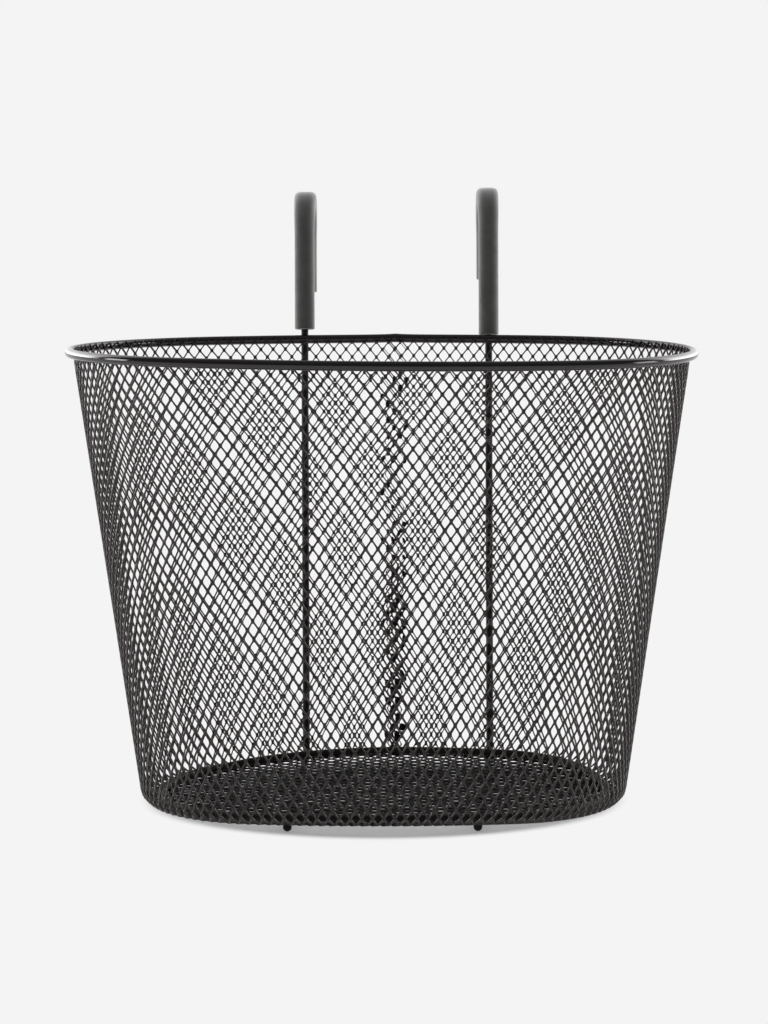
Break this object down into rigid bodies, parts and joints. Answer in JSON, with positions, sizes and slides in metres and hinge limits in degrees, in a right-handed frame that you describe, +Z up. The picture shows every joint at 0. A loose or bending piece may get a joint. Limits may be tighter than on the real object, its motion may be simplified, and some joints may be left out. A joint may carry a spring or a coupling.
{
  "type": "handlebar basket",
  "caption": "Tapered oval wire-mesh basket with a round-wire rim and two sleeved rod hooks that hang it over a bicycle handlebar.",
  "frame": {"origin": "on the ground, under the middle of the whole outline seen from above", "axes": "+X to the basket's right seen from the front, +Y from the front towards the handlebar and hooks, +Z up"},
  "size_m": [0.35, 0.2939, 0.3444],
  "materials": {
    "mesh_steel": "black powder coat, satin",
    "rim_steel": "black enamel, glossy",
    "rod_steel": "black powder coat, satin",
    "sleeve": "dark grey, matte"
  },
  "bodies": {
    "root": {"wall_mesh": "mesh_steel", "floor_mesh": "mesh_steel", "rim_ring": "rim_steel", "base_ring": "rim_steel", "floor_welds": "rod_steel", "riser_welds": "rod_steel", "hook_rod_left": "rod_steel", "hook_rod_right": "rod_steel", "hook_sleeve_left": "sleeve", "hook_sleeve_right": "sleeve"}
  },
  "joints": []
}
